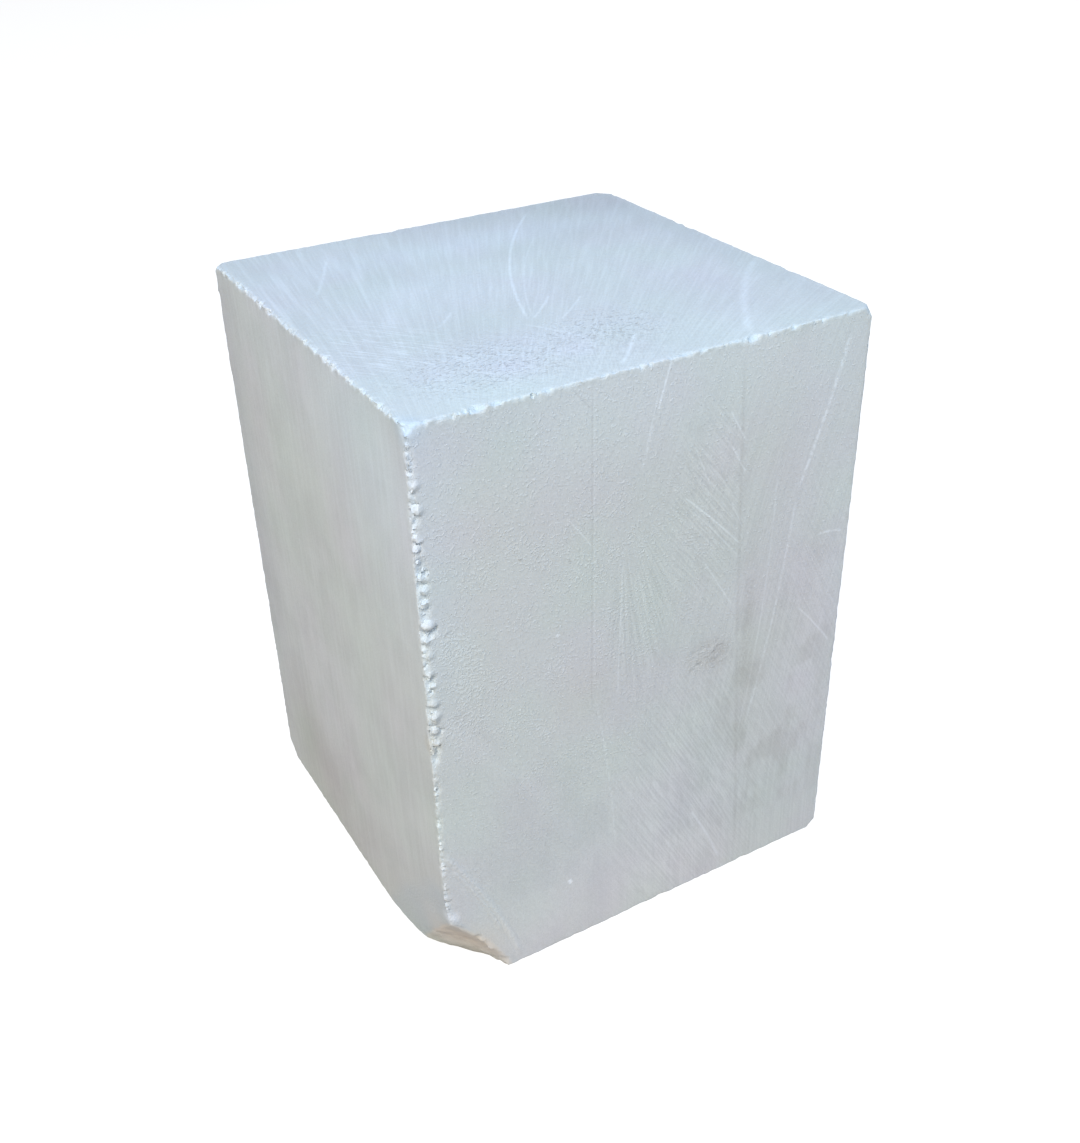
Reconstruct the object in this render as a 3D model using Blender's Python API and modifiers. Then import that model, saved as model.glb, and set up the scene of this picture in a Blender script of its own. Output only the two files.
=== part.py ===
"""A sawn block of alabaster, about 3 x 3 x 4 inches, with one bottom corner broken off.

The front face looks towards -Y and the base lies on Z = 0, with the origin at its middle.
"""
import math
import random
from collections import namedtuple

import bmesh
import bpy
from mathutils import Matrix, Vector, noise

MM = 0.001

# Size of the block: width and depth are taken at half height, the height at the middle of the top
WIDTH = 75.7 * MM
DEPTH = 72.5 * MM
HEIGHT = 101.6 * MM

# How far each sawn face leans out of square, in degrees.
# Side faces: turn about Z, then lean over the height. Top: fall along X, then along Y.
LEAN = {
    "left": (-0.14, 0.02),
    "right": (0.11, -0.17),
    "front": (0.06, -0.13),
    "back": (-0.09, 0.19),
    "top": (-0.13, 0.03),
}
ARRIS_WIDTH = 0.35 * MM

# The broken corner: lens-shaped bites out of the bottom front left corner.
# azimuth and below give where the bite comes from (from -X, then below the horizon), depth its
# deepest point from the sharp corner, radii the lens along, up and through, drop a shift downhill.
Bite = namedtuple("Bite", "azimuth below depth radii drop rough seed")
BREAK = Bite(39.8, 17.8, 8.5 * MM, (32 * MM, 24.4 * MM, 6 * MM), 8.6 * MM, 0.45 * MM, 3)
BITE_LUMP = 7 * MM

# Flatter bites that round the break over into the left face
ROUNDING_RADII = (60 * MM, 40 * MM, 6 * MM)
ROUNDING = (
    Bite(8.9, 7.6, 2.7 * MM, ROUNDING_RADII, 0.0, 0.10 * MM, 8),
    Bite(19.0, 15.8, 5.05 * MM, ROUNDING_RADII, 0.0, 0.15 * MM, 9),
    Bite(30.0, 23.4, 6.7 * MM, ROUNDING_RADII, 0.0, 0.20 * MM, 10),
)

# Corners knocked off when the block was handled: which corner, and how deep
KNOCKS = (
    ((1, -1, -1), 0.9 * MM),
    ((-1, 1, -1), 1.8 * MM),
    ((1, 1, -1), 1.2 * MM),
    ((1, -1, 1), 0.9 * MM),
    ((1, 1, 1), 1.4 * MM),
    ((-1, 1, 1), 0.7 * MM),
    ((-1, -1, 1), 0.9 * MM),
)
KNOCK_RADIUS = 6 * MM

# Chipped arrises: the two corners, the stretch between them, how many chips, how deep they bite
# across the arris, and how long they are along it
Arris = namedtuple("Arris", "start end stretch chips bite length")
ARRISES = (
    Arris((-1, -1, -1), (-1, -1, 1), (0.42, 0.985), 36, (0.45, 0.95), (1.0, 2.8)),
    Arris((-1, -1, -1), (-1, -1, 1), (0.17, 0.42), 16, (0.20, 0.40), (0.8, 1.8)),
    Arris((-1, -1, 1), (1, -1, 1), (0.01, 0.99), 32, (0.25, 0.70), (1.0, 3.6)),
    Arris((-1, -1, 1), (-1, 1, 1), (0.02, 0.98), 24, (0.15, 0.40), (0.8, 2.6)),
    Arris((1, -1, 1), (1, 1, 1), (0.03, 0.97), 12, (0.20, 0.50), (1.0, 3.0)),
    Arris((-1, 1, 1), (1, 1, 1), (0.03, 0.97), 12, (0.20, 0.50), (1.0, 3.0)),
    Arris((1, -1, -1), (1, -1, 1), (0.04, 0.97), 13, (0.20, 0.55), (1.2, 3.4)),
    Arris((-1, 1, -1), (-1, 1, 1), (0.04, 0.97), 11, (0.20, 0.45), (1.2, 3.4)),
    Arris((1, 1, -1), (1, 1, 1), (0.04, 0.97), 12, (0.25, 0.60), (1.2, 3.4)),
    Arris((-1, -1, -1), (1, -1, -1), (0.20, 0.95), 10, (0.15, 0.40), (1.6, 4.0)),
    Arris((-1, -1, -1), (-1, 1, -1), (0.26, 0.95), 9, (0.15, 0.40), (1.6, 4.0)),
    Arris((1, -1, -1), (1, 1, -1), (0.05, 0.95), 10, (0.20, 0.50), (1.6, 4.0)),
    Arris((-1, 1, -1), (1, 1, -1), (0.05, 0.95), 10, (0.20, 0.50), (1.6, 4.0)),
)
CHIP_REACH = (1.2, 2.4)     # radius across the arris, in bites
CHIP_SEED = 11

# Pellets left standing on the crumbled front arris: height, radius, and how far they stand inside
PELLETS = (
    (93.3, 0.75, 0.90),
    (89.9, 0.80, 1.00),
    (79.0, 0.70, 0.90),
    (75.4, 0.80, 0.90),
    (71.8, 1.15, 1.25),
    (66.6, 0.70, 0.95),
    (63.4, 0.75, 1.00),
    (58.6, 0.65, 0.90),
    (56.2, 0.80, 0.95),
    (53.8, 0.60, 0.80),
)

# A rough patch of small pits on the front face: middle, spread, count, pit radius and depth
PIT_PATCH = (11.2 * MM, 48.2 * MM)
PIT_SPREAD = (4.2 * MM, 2.6 * MM)
PITS = 11
PIT_RADIUS = (0.5 * MM, 1.0 * MM)
PIT_DEPTH = (0.15 * MM, 0.35 * MM)
PIT_SEED = 5

STONE_COLOUR = (0.60, 0.62, 0.63, 1.0)
STONE_ROUGHNESS = 0.55


def clear_scene():
    for item in list(bpy.data.objects):
        bpy.data.objects.remove(item, do_unlink=True)


def make_collection(name, parent=None):
    group = bpy.data.collections.new(name)
    (parent or bpy.context.scene.collection).children.link(group)
    return group


def new_object(name, bm, collection):
    mesh = bpy.data.meshes.new(name)
    bm.to_mesh(mesh)
    bm.free()
    item = bpy.data.objects.new(name, mesh)
    collection.objects.link(item)
    return item


def lean(face, first, second):
    """How far a sawn face stands out of square, first and second being distances on it."""
    turn, tilt = LEAN[face]
    return math.tan(math.radians(turn)) * first + math.tan(math.radians(tilt)) * second


def corner(sign_x, sign_y, sign_z):
    """One corner of the block, where three leaning faces meet."""
    x, y = sign_x * WIDTH / 2, sign_y * DEPTH / 2
    z = HEIGHT if sign_z > 0 else 0.0
    above = z - HEIGHT / 2
    return Vector((
        x + lean("left" if sign_x < 0 else "right", y, above),
        y + lean("front" if sign_y < 0 else "back", x, above),
        z + (lean("top", x, y) if sign_z > 0 else 0.0),
    ))


def sign(value):
    return 1 if value > 0 else -1


def sawn_block(collection):
    """The stone as it came off the saw: a cube moved onto its leaning faces, arrises dulled."""
    bm = bmesh.new()
    bmesh.ops.create_cube(bm, size=2.0)
    for vert in bm.verts:
        vert.co = corner(*(sign(value) for value in vert.co))
    block = new_object("alabaster_block", bm, collection)
    dulled = block.modifiers.new("dulled arrises", "BEVEL")
    dulled.width = ARRIS_WIDTH
    dulled.segments = 2
    return block


def rough_lump(bm, matrix, detail, rough, grain, seed):
    """Add an icosphere placed by matrix whose surface moves in and out by smooth noise."""
    made = bmesh.ops.create_icosphere(bm, subdivisions=detail, radius=1.0)
    offset = Vector((seed * 3.7, seed * -1.9, seed * 5.3))
    middle = matrix.to_translation()
    for vert in made["verts"]:
        place = matrix @ vert.co
        swell = noise.noise(place / grain + offset) * rough
        vert.co = place + (place - middle).normalized() * swell


def axes_matrix(along, up, through, middle, radii):
    """A matrix that carries a unit ball onto an ellipsoid with these axes, middle and radii."""
    turn = Matrix((along, up, through)).transposed().to_4x4()
    return Matrix.Translation(middle) @ turn @ Matrix.Diagonal((*radii, 1.0))


def bite_cutter(name, bite, collection):
    """A lens lying on the fracture, its belly towards the stone."""
    azimuth, below = math.radians(bite.azimuth), math.radians(bite.below)
    outward = Vector((
        -math.cos(below) * math.cos(azimuth),
        -math.cos(below) * math.sin(azimuth),
        -math.sin(below),
    ))
    along = Vector((0, 0, 1)).cross(outward).normalized()
    uphill = outward.cross(along)
    middle = corner(-1, -1, -1) + outward * (bite.radii[2] - bite.depth) - uphill * bite.drop
    bm = bmesh.new()
    matrix = axes_matrix(along, uphill, outward, middle, bite.radii)
    rough_lump(bm, matrix, 5, bite.rough, BITE_LUMP, bite.seed)
    return new_object(name, bm, collection)


def knock_cutter(index, signs, depth, collection):
    """A ball that takes the tip off one corner."""
    outward = Vector(signs).normalized()
    middle = corner(*signs) + outward * (KNOCK_RADIUS - depth)
    bm = bmesh.new()
    matrix = Matrix.Translation(middle) @ Matrix.Scale(KNOCK_RADIUS, 4)
    rough_lump(bm, matrix, 3, depth / 4, 2 * MM, index)
    return new_object(f"knock_{index:02d}", bm, collection)


def arris_frame(arris):
    """The two end points of an arris, its direction, and the outward direction across it."""
    start, end = corner(*arris.start), corner(*arris.end)
    along = (end - start).normalized()
    outward = Vector([(a + b) / 2 for a, b in zip(arris.start, arris.end)]).normalized()
    return start, end, along, outward


def chip_cutters(arris, number, rng, collection):
    """Small rough lumps strung along an arris, each biting a little into the stone."""
    start, end, along, outward = arris_frame(arris)
    side = outward.cross(along)
    low, high = arris.stretch
    for index in range(arris.chips):
        step = (index + rng.uniform(0.1, 0.9)) / arris.chips
        point = start.lerp(end, low + (high - low) * step)
        bite = rng.uniform(*arris.bite) * MM
        across = bite * rng.uniform(*CHIP_REACH)
        half = rng.uniform(*arris.length) * MM / 2
        sideways = side * rng.uniform(-0.5, 0.5) * bite
        middle = point + outward * (across - bite) + sideways
        bm = bmesh.new()
        matrix = axes_matrix(side, outward, along, middle, (across, across, half))
        rough_lump(bm, matrix, 1, 0.35 * bite, across, rng.uniform(0, 40))
        new_object(f"chip_{number:02d}_{index:02d}", bm, collection)


def pellet_lumps(collection):
    """The rounded grains that stand along the crumbled front arris."""
    for index, (height, radius, inside) in enumerate(PELLETS):
        low, high = corner(-1, -1, -1), corner(-1, -1, 1)
        point = low.lerp(high, height * MM / HEIGHT)
        middle = point + Vector((1, 1, 0)).normalized() * inside * MM
        bm = bmesh.new()
        matrix = Matrix.Translation(middle) @ Matrix.Scale(radius * MM, 4)
        rough_lump(bm, matrix, 2, 0.15 * radius * MM, radius * MM, index)
        new_object(f"pellet_{index:02d}", bm, collection)


def pit_cutters(collection):
    """Shallow scoops in the rough patch on the front face."""
    rng = random.Random(PIT_SEED)
    for index in range(PITS):
        x = PIT_PATCH[0] + rng.gauss(0, 0.5) * PIT_SPREAD[0]
        z = PIT_PATCH[1] + rng.gauss(0, 0.5) * PIT_SPREAD[1]
        radius = rng.uniform(*PIT_RADIUS)
        depth = rng.uniform(*PIT_DEPTH)
        surface = -DEPTH / 2 + lean("front", x, z - HEIGHT / 2)
        middle = Vector((x, surface - radius / 2 + depth, z))
        bm = bmesh.new()
        scale = Matrix.Diagonal((radius, radius / 2, radius * rng.uniform(0.6, 1.0), 1.0))
        rough_lump(bm, Matrix.Translation(middle) @ scale, 1, depth / 3, radius, index)
        new_object(f"pit_{index:02d}", bm, collection)


def hide_cutters(collection):
    for item in collection.objects:
        item.hide_render = True
        item.display_type = "WIRE"


def add_boolean(block, name, operation, collection):
    cut = block.modifiers.new(name, "BOOLEAN")
    cut.operation = operation
    cut.operand_type = "COLLECTION"
    cut.collection = collection
    cut.solver = "EXACT"


def stone_material():
    material = bpy.data.materials.new("alabaster")
    material.use_nodes = True
    shader = material.node_tree.nodes["Principled BSDF"]
    shader.inputs["Base Color"].default_value = STONE_COLOUR
    shader.inputs["Roughness"].default_value = STONE_ROUGHNESS
    shader.inputs["Metallic"].default_value = 0.0
    return material


def build():
    clear_scene()
    parts = make_collection("alabaster block")
    tools = make_collection("cutters")
    cuts = make_collection("cuts", tools)
    grains = make_collection("grains", tools)

    block = sawn_block(parts)
    block.data.materials.append(stone_material())

    bite_cutter("break", BREAK, cuts)
    for index, bite in enumerate(ROUNDING):
        bite_cutter(f"rounding_{index}", bite, cuts)
    for index, (signs, depth) in enumerate(KNOCKS):
        knock_cutter(index, signs, depth, cuts)
    rng = random.Random(CHIP_SEED)
    for number, arris in enumerate(ARRISES):
        chip_cutters(arris, number, rng, cuts)
    pit_cutters(cuts)
    pellet_lumps(grains)

    add_boolean(block, "broken and chipped away", "DIFFERENCE", cuts)
    add_boolean(block, "grains left standing", "UNION", grains)
    hide_cutters(cuts)
    hide_cutters(grains)


build()
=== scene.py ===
# %% [markdown]
# A sawn block of alabaster
#
# The real thing is one piece of pale, slightly clear stone, about 3 x 3 x 4 inches, cut on a big
# circular saw. It could be shown as a plain box with a picture on it, but its look comes from
# broken arrises, one split corner and the fine arcs that the blade left. So the whole skin is
# worked out as one surface first, and the colour is then laid on by formulas.

import math
from functools import partial, reduce

import bpy
import numpy as np
from mathutils import Matrix, Vector


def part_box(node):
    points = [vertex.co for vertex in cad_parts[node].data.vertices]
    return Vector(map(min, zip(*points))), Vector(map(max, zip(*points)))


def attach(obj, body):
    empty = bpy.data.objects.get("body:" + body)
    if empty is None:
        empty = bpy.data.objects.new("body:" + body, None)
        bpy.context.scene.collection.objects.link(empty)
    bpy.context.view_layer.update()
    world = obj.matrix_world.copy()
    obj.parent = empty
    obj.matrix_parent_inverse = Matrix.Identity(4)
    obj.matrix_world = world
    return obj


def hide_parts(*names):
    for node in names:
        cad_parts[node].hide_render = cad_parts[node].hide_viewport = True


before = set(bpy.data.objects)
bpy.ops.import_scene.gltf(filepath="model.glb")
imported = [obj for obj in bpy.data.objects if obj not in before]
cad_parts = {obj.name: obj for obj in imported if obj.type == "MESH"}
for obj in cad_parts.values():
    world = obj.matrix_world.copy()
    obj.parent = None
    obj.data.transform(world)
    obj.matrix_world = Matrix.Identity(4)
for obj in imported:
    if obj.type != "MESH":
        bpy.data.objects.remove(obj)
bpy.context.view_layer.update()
MM = 0.001

# %% [markdown]
# Size and squareness
#
# The saw cuts six flat faces that are never quite square. Each face is written as its distance at
# the middle of the block plus two small slopes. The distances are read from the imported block, so
# the skin fills the same box, whatever scale that is.

# %% Size of the block
NODE = "alabaster_block"
low, high = (np.array(corner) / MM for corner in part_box(NODE))
# The faces in pairs along X, Y and Z, and each one's axis and side of the block
PAIRS = (("left", "right"), ("front", "back"), ("base", "top"))
AXES = {face: (axis, side) for axis, pair in enumerate(PAIRS) for face, side in zip(pair, (-1, 1))}
# Slopes of each face, in degrees: along the first and the second of the other two axes
LEAN = {
    "left": (-0.14, 0.02),
    "right": (0.11, -0.17),
    "front": (0.06, -0.13),
    "back": (-0.09, 0.19),
    "base": (0.0, 0.0),
    "top": (-0.13, 0.03),
}
SIDE_AXES = ((1, 2), (0, 2), (0, 1))
middle = np.array([0.0, 0.0, high[2] / 2])
reach = np.array([high[0] - low[0], high[1] - low[1], high[2]]) / 2


def slopes(face):
    """The two slopes of a face as tangents."""
    return np.tan(np.radians(LEAN[face]))


def half_size(face):
    """Distance of a face from the block's middle: the box's side less what the slopes add to it."""
    axis, _ = AXES[face]
    first, second = SIDE_AXES[axis]
    return reach[axis] - np.abs(slopes(face)) @ reach[[first, second]]


HALF = {face: half_size(face) for face in AXES}
HALF["base"] = reach[2]
print("half sizes in mm:", {face: round(float(half), 2) for face, half in HALF.items()})


def face_distance(face, p):
    """How far each point stands out of one sawn face: its offset less the face's, slopes included."""
    axis, side = AXES[face]
    first, second = SIDE_AXES[axis]
    rise = slopes(face) @ (p[:, [first, second]] - middle[[first, second]]).T
    return side * (p[:, axis] - middle[axis] - rise) - HALF[face]


def corner(*signs):
    """The corner where three leaning faces meet, found by moving a point onto each face in turn."""
    faces = [name for name, (axis, side) in AXES.items() if signs[axis] == side]
    point = middle + reach * signs
    for _ in range(3):
        for face in faces:
            axis, side = AXES[face]
            point[axis] -= side * face_distance(face, point[None])[0]
    return point


# %% [markdown]
# Noise
#
# Broken stone is rough at every scale. A soft noise is made here from random values on a grid of
# unit cells, blended by a smooth curve, so it can be asked for at any point and any seed.

# %% Soft noise
def scrambled(cells, seed):
    """A random number from 0 to 1 for each row of whole numbers, the same each run."""
    key = (cells.astype(np.int64) * np.array([73856093, 19349663, 83492791])[:cells.shape[1]]).sum(1)
    key = (key + seed * 2654435761) & 0xFFFFFFFF
    for _ in range(2):
        key = ((key ^ (key >> 15)) * 739982445) & 0xFFFFFFFF
        key = ((key ^ (key >> 13)) * 695872825) & 0xFFFFFFFF
    return (key ^ (key >> 16)) / 2.0 ** 32


def soft_noise(p, size, seed):
    """Noise from -1 to 1 with lumps of that size: eight corner values of a cell, blended smoothly."""
    q = p / size
    cell = np.floor(q)
    part = q - cell
    part = part * part * part * (part * (part * 6 - 15) + 10)
    total = np.zeros(len(p))
    for step in np.ndindex(2, 2, 2):
        share = np.prod(np.where(np.array(step), part, 1 - part), axis=1)
        total += share * scrambled(cell + step, seed)
    return 2 * total - 1


def rough_noise(p, size, seed, layers=3):
    """Layers of soft noise, each half as large and half as strong as the one before."""
    return sum(soft_noise(p, size / 2 ** n, seed + n) / 2 ** n for n in range(layers))


def smoothstep(low_edge, high_edge, x):
    """0 below the low edge, 1 above the high edge, and a smooth ramp between."""
    t = np.clip((x - low_edge) / (high_edge - low_edge), 0, 1)
    return t * t * (3 - 2 * t)


def smooth_max(a, b, width):
    """The larger of two distances, with the crease between them rounded over this width."""
    gap = np.clip(width - np.abs(a - b), 0, None)
    return np.maximum(a, b) + gap * gap / (4 * width)


# %% [markdown]
# The stone as a distance
#
# Every stage of the block's life is a formula for how far a point is outside the stone: six sawn
# faces whose arrises the handling has dulled, the split corner, the chips along each arris, and
# the grains left standing there. Taking stone away is the larger of two distances, and adding a
# grain is the smaller, so the stages can be stacked in the order in which they happened.

# %% Sawn faces with dulled arrises
DULL = 0.16


def sawn_faces(p):
    """Distance to the six faces, for each axis the face nearer to the point: shape (3, points)."""
    return np.array([np.maximum(*(face_distance(face, p) for face in pair)) for pair in PAIRS])


def dulled_block(p):
    """A rounded box: the length of the three distances past a box that is smaller by the radius."""
    past = sawn_faces(p) + DULL
    outside = np.sqrt((np.clip(past, 0, None) ** 2).sum(0))
    return outside + np.minimum(past.max(0), 0) - DULL


# %% The split corner and the knocked ones
def unit(vector):
    """The vector divided by its length."""
    return np.array(vector, float) / np.linalg.norm(vector)


def lens_distance(p, centre, axes, radii):
    """Rough distance to an ellipsoid: how far the scaled point is from a unit ball, scaled back."""
    q = (p - centre) @ np.array(axes).T / radii
    near = np.linalg.norm(q, axis=1)
    return near * (near - 1) / np.maximum(np.linalg.norm(q / radii, axis=1), 1e-9)


SPLIT_CORNER = corner(-1, -1, -1)
# Each bite: azimuth from -X and angle below the horizon, depth, lens radii and shift downhill
BREAK = (39.8, 17.8, 8.5, (32.0, 24.4, 6.0), 8.6)
ROUNDING = (
    (8.9, 7.6, 2.7, (60.0, 40.0, 6.0), 0.0),
    (19.0, 15.8, 5.05, (60.0, 40.0, 6.0), 0.0),
    (30.0, 23.4, 6.7, (60.0, 40.0, 6.0), 0.0),
)


def bite_distance(p, bite):
    """Distance to one lens-shaped bite that lies against the split corner."""
    azimuth, below, depth, radii, drop = bite
    azimuth, below = math.radians(azimuth), math.radians(below)
    level = math.cos(below)
    outward = np.array([-level * math.cos(azimuth), -level * math.sin(azimuth), -math.sin(below)])
    along = unit(np.cross((0, 0, 1), outward))
    uphill = np.cross(outward, along)
    centre = SPLIT_CORNER + outward * (radii[2] - depth) - uphill * drop
    return lens_distance(p, centre, (along, uphill, outward), np.array(radii))


def split_corner(p):
    """Depth inside the bites at the split corner, positive where the stone is gone."""
    fracture = rough_noise(p, 6.0, 31) * 0.3 + rough_noise(p, 2.2, 41, 2) * 0.06
    broken = -bite_distance(p, BREAK) + fracture
    rounded = np.max([-bite_distance(p, bite) for bite in ROUNDING], axis=0)
    rounded = rounded + rough_noise(p, 5.0, 51) * 0.12
    return broken, rounded


KNOCKS = (
    ((1, -1, -1), 0.9),
    ((-1, 1, -1), 1.8),
    ((1, 1, -1), 1.2),
    ((1, -1, 1), 0.9),
    ((1, 1, 1), 1.4),
    ((-1, 1, 1), 0.7),
    ((-1, -1, 1), 1.0),
)
KNOCK_RADIUS = 6.0
# Depth of a place that no bite reaches
FAR_OFF = 9.0


def knocked_corners(p):
    """Depth inside the balls that took the corners' tips off."""
    gone = np.full(len(p), -FAR_OFF)
    for signs, depth in KNOCKS:
        centre = corner(*signs) + unit(signs) * (KNOCK_RADIUS - depth)
        gone = np.maximum(gone, KNOCK_RADIUS - np.linalg.norm(p - centre, axis=1))
    return gone + rough_noise(p, 1.6, 61) * 0.16


# %% [markdown]
# Chipped arrises
#
# An arris of soft stone crumbles in small bites of every size. Along each arris runs a row of
# cells, and each cell holds one bite at a random place, so a point only has to look at the cell
# that it is in and the two beside it. Three rows make big bites, small ones and fine crumbling.

# %% Chips along an arris
# Ends of each arris, its cell length, and the least and greatest bite along it. The first three,
# which are seen, have crumbled most
ARRISES = (
    ((-1, -1, -1), (-1, -1, 1), 2.4, (0.2, 0.6)),
    ((-1, -1, 1), (1, -1, 1), 2.4, (0.2, 0.9)),
    ((-1, -1, 1), (-1, 1, 1), 2.8, (0.08, 0.5)),
    ((1, -1, 1), (1, 1, 1), 3.4, (0.1, 0.45)),
    ((-1, 1, 1), (1, 1, 1), 3.4, (0.1, 0.45)),
    ((1, -1, -1), (1, -1, 1), 3.6, (0.08, 0.32)),
    ((-1, 1, -1), (-1, 1, 1), 3.6, (0.08, 0.32)),
    ((1, 1, -1), (1, 1, 1), 3.6, (0.15, 0.6)),
    ((-1, -1, -1), (1, -1, -1), 3.6, (0.1, 0.4)),
    ((-1, -1, -1), (-1, 1, -1), 3.6, (0.1, 0.4)),
    ((1, -1, -1), (1, 1, -1), 3.6, (0.1, 0.5)),
    ((-1, 1, -1), (1, 1, -1), 3.6, (0.1, 0.5)),
)
CHIP_ZONE = 3.0
SMALL_CELL, SMALL_BITE = 0.37, 0.6
FINE_CELL, FINE_BITE = 0.8, np.array([0.5, 2.1])
SEEN_ARRISES, SEEN_ROUGH, HIDDEN_ROUGH = 3, 0.3, 0.06
CRUMB_SIZE, CRUMB_SEED = 0.9, 81


def arris_axes(start_signs, end_signs):
    """Start point, length, and the directions along, across and out of an arris."""
    start, end = corner(*start_signs), corner(*end_signs)
    along = unit(end - start)
    outward = unit([(a + b) / 2 for a, b in zip(start_signs, end_signs)])
    return start, np.linalg.norm(end - start), along, np.cross(outward, along), outward


def row_of_bites(t, a, o, cell, bite, seed):
    """Depth inside a row of lens-shaped bites, t along, a across and o out of the arris."""
    gone = np.full(len(t), -FAR_OFF)
    for beside in (-1, 0, 1):
        index = np.floor(t / cell)[:, None] + beside
        pick = [scrambled(index, seed * 10 + n) for n in range(5)]
        depth = bite[0] + (bite[1] - bite[0]) * pick[0] ** 1.5
        wide = depth * (1.2 + 1.2 * pick[1])
        half = cell * (0.35 + 0.4 * pick[2])
        place = (index[:, 0] + 0.2 + 0.6 * pick[3]) * cell
        radii = np.array([half, wide, wide])
        q = np.array([t - place, a - (pick[4] - 0.5) * depth, o - wide + depth]) / radii
        near = np.linalg.norm(q, axis=0)
        slope = np.linalg.norm(q / radii, axis=0)
        gone = np.maximum(gone, -near * (near - 1) / np.maximum(slope, 1e-9))
    return gone


def envelope(number, t, length):
    """How strongly an arris is chipped along its length, between 0.6 and 1."""
    return 0.8 + 0.2 * np.sin(9 * t / length + number)


def chipped_arrises(p):
    """Depth inside the bites along all twelve arrises, only looked for near each arris."""
    gone = np.full(len(p), -FAR_OFF)
    for number, (start_signs, end_signs, cell, bite) in enumerate(ARRISES):
        start, length, along, side, outward = arris_axes(start_signs, end_signs)
        offset = p - start
        t, a, o = offset @ along, offset @ side, offset @ outward
        near = (np.abs(a) < CHIP_ZONE) & (np.abs(o) < CHIP_ZONE)
        if not near.any():
            continue
        t, a, o = t[near], a[near], o[near]
        big = np.array(bite)
        weaker = (1 - envelope(number, t, length)) * bite[1]
        rough = SEEN_ROUGH if number < SEEN_ARRISES else HIDDEN_ROUGH
        bites = np.max([
            row_of_bites(t, a, o, cell, big, number) - weaker,
            row_of_bites(t, a, o, cell * SMALL_CELL, big * SMALL_BITE, number + 20) - weaker / 2,
            row_of_bites(t, a, o, FINE_CELL, FINE_BITE * rough, number + 40),
        ], axis=0)
        crumbs = rough_noise(p[near], CRUMB_SIZE, CRUMB_SEED, 2)
        ragged = rough * crumbs * smoothstep(-0.25, 0.0, bites)
        gone[near] = np.maximum(gone[near], bites + ragged)
    return gone


# %% The crumbled arris between the front and the left face
# Height, radius, and how far the middle is from the left face and behind the front face
PELLETS = (
    (93.3, 0.62, 0.85, 0.4),
    (89.6, 0.66, 0.9, 0.42),
    (85.4, 0.35, 0.7, 0.25),
    (79.4, 0.45, 0.7, 0.3),
    (77.6, 0.42, 0.85, 0.28),
    (75.4, 0.62, 0.85, 0.38),
    (71.8, 0.98, 1.15, 0.5),
    (69.4, 0.52, 0.8, 0.35),
    (66.9, 0.62, 0.9, 0.4),
    (64.0, 0.66, 0.9, 0.38),
    (61.6, 0.4, 1.1, 0.25),
    (58.8, 0.72, 0.95, 0.42),
    (56.4, 0.76, 1.15, 0.45),
    (53.8, 0.6, 1.00, 0.35),
    (51.6, 0.4, 0.8, 0.25),
)
# Heights along the arris and how far it is crumbled there, as a share of the full width
CRUMBLED_AT = (0, 16, 19, 22, 30, 46, 50, 54, 62, 80, 84, 90, 97, 101)
CRUMBLED = (0.0, 0.3, 0.6, 0.4, 0.32, 0.35, 0.6, 1.0, 1.0, 0.9, 0.6, 0.65, 0.35, 0.05)
CRUMB_WIDTH, CRUMB_DEPTH, CRUMB_IN = 1.25, 0.85, 0.7
GRAIN_CELL = 0.95


def arris_place(p):
    """Each point's distance from the left face, behind the front face, and its height."""
    return -face_distance("left", p), -face_distance("front", p), p[:, 2]


def crumbled(p):
    """Depth inside the rough groove that the arris has crumbled away to, wider on the front face."""
    from_left, behind, height = arris_place(p)
    spot = np.stack([height, height * 0, height * 0], axis=1)
    wavy = 0.85 + 0.45 * rough_noise(spot, 2.3, 91, 2)
    share = np.interp(height, CRUMBLED_AT, CRUMBLED) * wavy
    wide, deep = CRUMB_WIDTH * share, CRUMB_DEPTH * share
    across = (from_left - CRUMB_IN * share) / np.maximum(wide, 0.05)
    reach_in = np.hypot(across, behind / np.maximum(deep, 0.05))
    return (1 - reach_in) * deep + 0.16 * rough_noise(p, 0.8, 95, 2) * (share > 0.1)


def pellets(p):
    """Distance to the nearest rounded grain: the placed ones and a loose row of small ones."""
    from_left, behind, height = arris_place(p)
    near = np.full(len(p), FAR_OFF)
    for middle_height, radius, left_in, front_in in PELLETS:
        place = np.array([from_left - left_in, behind - front_in, height - middle_height])
        near = np.minimum(near, np.linalg.norm(place, axis=0) - radius)
    cell = GRAIN_CELL
    for beside in (-1, 0, 1):
        index = np.floor(height / cell)[:, None] + beside
        pick = [scrambled(index, 700 + n) for n in range(4)]
        share = np.interp(index[:, 0] * cell, CRUMBLED_AT, CRUMBLED)
        radius = (0.12 + 0.38 * pick[0] ** 1.5) * share - 0.3 * (share < 0.1)
        place = np.array([
            from_left - (0.35 + 1.0 * pick[1]) * share,
            behind - (0.25 + 0.35 * pick[2]) * share,
            height - (index[:, 0] + 0.15 + 0.7 * pick[3]) * cell,
        ])
        near = np.minimum(near, np.linalg.norm(place, axis=0) - radius)
    return near + rough_noise(p, 0.75, 71, 2) * 0.22


# %% The finished stone
# Over how many mm each stage is blended into the ones before
BLEND = {
    "rounded": 2.5, "knocked": 0.5, "chipped": 0.1, "crumbled": 0.08, "grains": 0.3, "broken": 0.12,
}


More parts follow.
